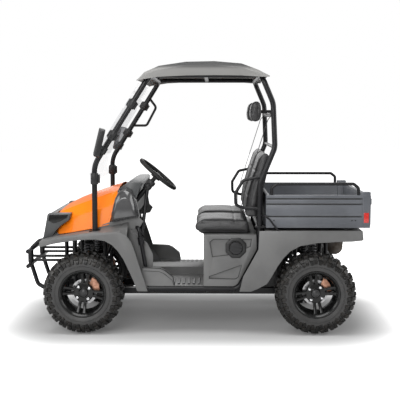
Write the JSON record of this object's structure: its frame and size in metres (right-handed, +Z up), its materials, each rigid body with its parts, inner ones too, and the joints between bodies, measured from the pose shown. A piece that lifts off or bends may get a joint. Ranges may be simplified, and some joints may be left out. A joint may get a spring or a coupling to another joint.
{
  "type": "side-by-side utility vehicle",
  "caption": "Side-by-side utility vehicle with a roofed roll cage, bucket seats, a clear windscreen, knobbly tyres, a painted hood and a tipping cargo bed.",
  "frame": {"origin": "on the ground, under the middle of the overall length and width", "axes": "+X forward, +Y to the driver's left, +Z up"},
  "size_m": [2.512, 1.4338, 1.9499],
  "materials": {
    "frame_black": "satin",
    "skid": "satin",
    "body_plastic": "matt",
    "engine": "matt",
    "shock": "satin",
    "steel": "brushed",
    "grip": "matt",
    "trim": "satin",
    "clear_sheet": "clear",
    "roof": "satin",
    "mirror_glass": "polished",
    "seat_vinyl": "matt",
    "webbing": "woven",
    "hood_orange": "gloss",
    "cowl_gloss": "gloss",
    "lamp_clear": "clear",
    "bed_plastic": "matt",
    "lamp_red": "gloss",
    "muffler_steel": "heat-tinted",
    "caliper_gold": "satin",
    "tyre": "matt",
    "rim_black": "gloss"
  },
  "bodies": {
    "chassis": {"main_frame": "frame_black", "front_bulkhead": "frame_black", "rear_bulkhead": "frame_black", "dash_frame": "frame_black", "skid_plate": "skid", "floor_pan": "body_plastic", "seat_box": "body_plastic", "engine_block": "engine", "axles": "engine", "suspension_arms": "frame_black", "shock_absorbers": "shock", "steering_gear": "frame_black", "front_hoop": "frame_black", "rear_hoop": "frame_black", "roof_rails": "frame_black", "pillar_clamps": "trim", "windshield": "clear_sheet", "roof_panel": "roof", "mirrors": "trim", "mirror_glass": "mirror_glass", "grab_handle": "grip", "dashboard": "body_plastic", "pedals": "steel", "seat_cushions": "seat_vinyl", "seat_backs": "seat_vinyl", "headrests": "seat_vinyl", "hip_rails": "frame_black", "seat_belts": "webbing", "fuel_cap": "trim", "hood": "hood_orange", "side_cowls": "cowl_gloss", "front_fenders": "body_plastic", "rear_fenders": "body_plastic", "nose_panel": "body_plastic", "headlamps": "lamp_clear", "front_bumper": "frame_black", "muffler": "muffler_steel", "hitch_receiver": "frame_black", "rear_uprights": "caliper_gold"},
    "knuckle_left": {"front_knuckle_left": "caliper_gold"},
    "knuckle_right": {"front_knuckle_right": "caliper_gold"},
    "steering": {"steering_wheel": "grip"},
    "rack": {"tie_rods": "steel"},
    "bed": {"cargo_bed": "bed_plastic", "bed_rails": "frame_black", "tail_lamps": "lamp_red"},
    "gate": {"tailgate": "bed_plastic"},
    "wheel_front_left": {"tyre_front_left": "tyre", "rim_front_left": "rim_black", "brake_disc_front_left": "steel"},
    "wheel_front_right": {"tyre_front_right": "tyre", "rim_front_right": "rim_black", "brake_disc_front_right": "steel"},
    "wheel_rear_left": {"tyre_rear_left": "tyre", "rim_rear_left": "rim_black", "brake_disc_rear_left": "steel"},
    "wheel_rear_right": {"tyre_rear_right": "tyre", "rim_rear_right": "rim_black", "brake_disc_rear_right": "steel"}
  },
  "joints": [
    {"name": "steer_left", "type": "hinge", "parent": "chassis", "child": "knuckle_left", "pos_m": [0.795, 0.44, 0.292], "axis": [0, 0, 1], "range_deg": [-25, 25]},
    {"name": "steer_right", "type": "hinge", "parent": "chassis", "child": "knuckle_right", "pos_m": [0.795, -0.44, 0.292], "axis": [0, 0, 1], "range_deg": [-25, 25]},
    {"name": "steering_wheel_turn", "type": "hinge", "parent": "chassis", "child": "steering", "pos_m": [0.273, 0.28, 1.126], "axis": [-0.6468, 0, 0.7627], "range_deg": [-250, 250]},
    {"name": "rack_slide", "type": "slide", "parent": "chassis", "child": "rack", "axis": [0, 1, 0], "range_m": [-0.027, 0.027]},
    {"name": "front_left_spin", "type": "hinge", "parent": "knuckle_left", "child": "wheel_front_left", "pos_m": [0.795, 0.495, 0.292], "axis": [0, 1, 0], "continuous": true},
    {"name": "front_right_spin", "type": "hinge", "parent": "knuckle_right", "child": "wheel_front_right", "pos_m": [0.795, -0.495, 0.292], "axis": [0, 1, 0], "continuous": true},
    {"name": "rear_left_spin", "type": "hinge", "parent": "chassis", "child": "wheel_rear_left", "pos_m": [-0.865, 0.495, 0.292], "axis": [0, 1, 0], "continuous": true},
    {"name": "rear_right_spin", "type": "hinge", "parent": "chassis", "child": "wheel_rear_right", "pos_m": [-0.865, -0.495, 0.292], "axis": [0, 1, 0], "continuous": true},
    {"name": "bed_tilt", "type": "hinge", "parent": "chassis", "child": "bed", "pos_m": [-1.168, 0, 0.754], "axis": [0, -1, 0], "range_deg": [0, 40]},
    {"name": "tailgate_drop", "type": "hinge", "parent": "bed", "child": "gate", "pos_m": [-1.222, 0, 0.806], "axis": [0, -1, 0], "range_deg": [0, 90]}
  ],
  "couplings": [
    {"joint": "steer_right", "follows": "steer_left", "ratio": 1},
    {"joint": "steering_wheel_turn", "follows": "steer_left", "ratio": 10},
    {"joint": "rack_slide", "follows": "steer_left", "m_per_rad": -0.06}
  ]
}
